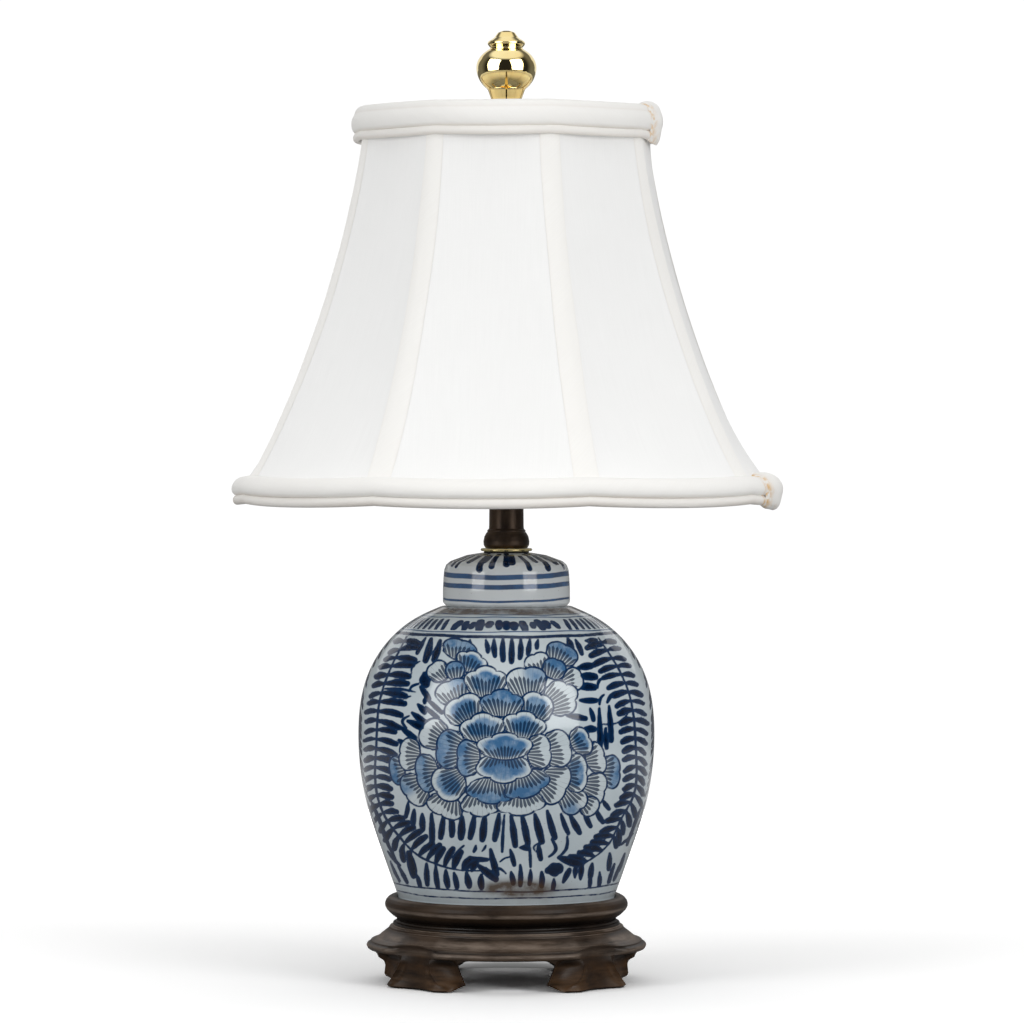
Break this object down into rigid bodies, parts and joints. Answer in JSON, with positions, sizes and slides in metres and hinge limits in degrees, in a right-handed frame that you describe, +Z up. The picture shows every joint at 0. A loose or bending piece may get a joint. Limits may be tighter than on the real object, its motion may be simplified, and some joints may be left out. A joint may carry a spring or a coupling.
{
  "type": "table lamp",
  "caption": "Table lamp with a blue-and-white porcelain jar body on a carved wooden stand, a cloth bell shade on a harp, a turn-knob socket and a ball finial",
  "frame": {"origin": "On the table, at the centre of the lamp's footprint, on the axis of jar, rod and shade", "axes": "+Z up along the lamp's axis; the front, with the main flower and the switch knob, faces -Y; the harp stands in the XZ plane"},
  "size_m": [0.3044, 0.3044, 0.5261],
  "materials": {
    "dark_wood": "worn lacquer",
    "pad_felt": "matt",
    "painted_porcelain": "gloss",
    "rubber_black": "matt",
    "polished_brass": "polished",
    "dark_bronze": "satin",
    "zinc_steel": "satin",
    "black_plastic": "satin",
    "brassed_steel": "satin",
    "liner_card": "matt",
    "brown_moulding": "satin",
    "cap_metal": "satin",
    "solder": "satin",
    "black_glass": "gloss",
    "opal_glass": "frosted",
    "frame_wire": "satin",
    "panel_cloth": "matt",
    "lining_cloth": "satin",
    "trim_cloth": "matt"
  },
  "bodies": {
    "base": {"stand_frame": "dark_wood", "stand_collar": "dark_wood", "jar_pad": "pad_felt", "jar": "painted_porcelain", "jar_lid": "painted_porcelain", "lid_washer": "rubber_black", "check_ring": "polished_brass", "neck": "dark_bronze", "lamp_rod": "zinc_steel", "plate_washer": "zinc_steel", "lock_washer": "zinc_steel", "rod_nut": "zinc_steel", "cord_bushing": "black_plastic", "harp_saddle": "brassed_steel", "harp": "brassed_steel", "socket_cap": "brassed_steel", "socket_shell": "brassed_steel", "socket_liner": "liner_card", "socket_core": "brown_moulding", "terminal_screws": "zinc_steel", "socket_screw_shell": "cap_metal", "socket_contact": "brassed_steel"},
    "sleeve_left": {"harp_sleeve_left": "brassed_steel"},
    "sleeve_right": {"harp_sleeve_right": "brassed_steel"},
    "swivel": {"harp_stud": "polished_brass"},
    "shade": {"shade_top_ring": "frame_wire", "shade_bottom_ring": "frame_wire", "shade_ribs": "frame_wire", "shade_spider": "brassed_steel", "shade_lining": "lining_cloth", "shade_panel_1": "panel_cloth", "shade_panel_2": "panel_cloth", "shade_panel_3": "panel_cloth", "shade_panel_4": "panel_cloth", "shade_panel_5": "panel_cloth", "shade_panel_6": "panel_cloth", "shade_panel_7": "panel_cloth", "shade_panel_8": "panel_cloth", "seam_tape_1": "trim_cloth", "seam_tape_2": "trim_cloth", "seam_tape_3": "trim_cloth", "seam_tape_4": "trim_cloth", "seam_tape_5": "trim_cloth", "seam_tape_6": "trim_cloth", "seam_tape_7": "trim_cloth", "seam_tape_8": "trim_cloth", "top_roll": "trim_cloth", "top_piping": "trim_cloth", "bottom_roll": "trim_cloth", "bottom_piping": "trim_cloth", "top_wrap": "trim_cloth", "bottom_wrap": "trim_cloth"},
    "finial": {"finial": "polished_brass"},
    "knob": {"switch_knob": "black_plastic", "switch_stem": "brassed_steel"},
    "bulb": {"bulb_glass": "opal_glass", "bulb_cap": "cap_metal", "bulb_insulator": "black_glass", "bulb_contact": "solder"}
  },
  "joints": [
    {"name": "sleeve_left_lift", "type": "slide", "parent": "base", "child": "sleeve_left", "axis": [0, 0, 1], "range_m": [0, 0.012]},
    {"name": "sleeve_right_lift", "type": "slide", "parent": "base", "child": "sleeve_right", "axis": [0, 0, 1], "range_m": [0, 0.012]},
    {"name": "shade_swivel", "type": "hinge", "parent": "base", "child": "swivel", "pos_m": [0, 0, 0.4757], "axis": [0, 0, 1], "continuous": true},
    {"name": "shade_lift", "type": "slide", "parent": "swivel", "child": "shade", "axis": [0, 0, 1], "range_m": [0, 0.24]},
    {"name": "finial_turn", "type": "hinge", "parent": "shade", "child": "finial", "pos_m": [0, 0, 0.48], "axis": [0, 0, 1], "continuous": true},
    {"name": "knob_turn", "type": "hinge", "parent": "base", "child": "knob", "pos_m": [0, -0.019, 0.3015], "axis": [0, -1, 0], "continuous": true},
    {"name": "bulb_turn", "type": "hinge", "parent": "base", "child": "bulb", "pos_m": [0, 0, 0.334], "axis": [0, 0, 1], "continuous": true}
  ]
}
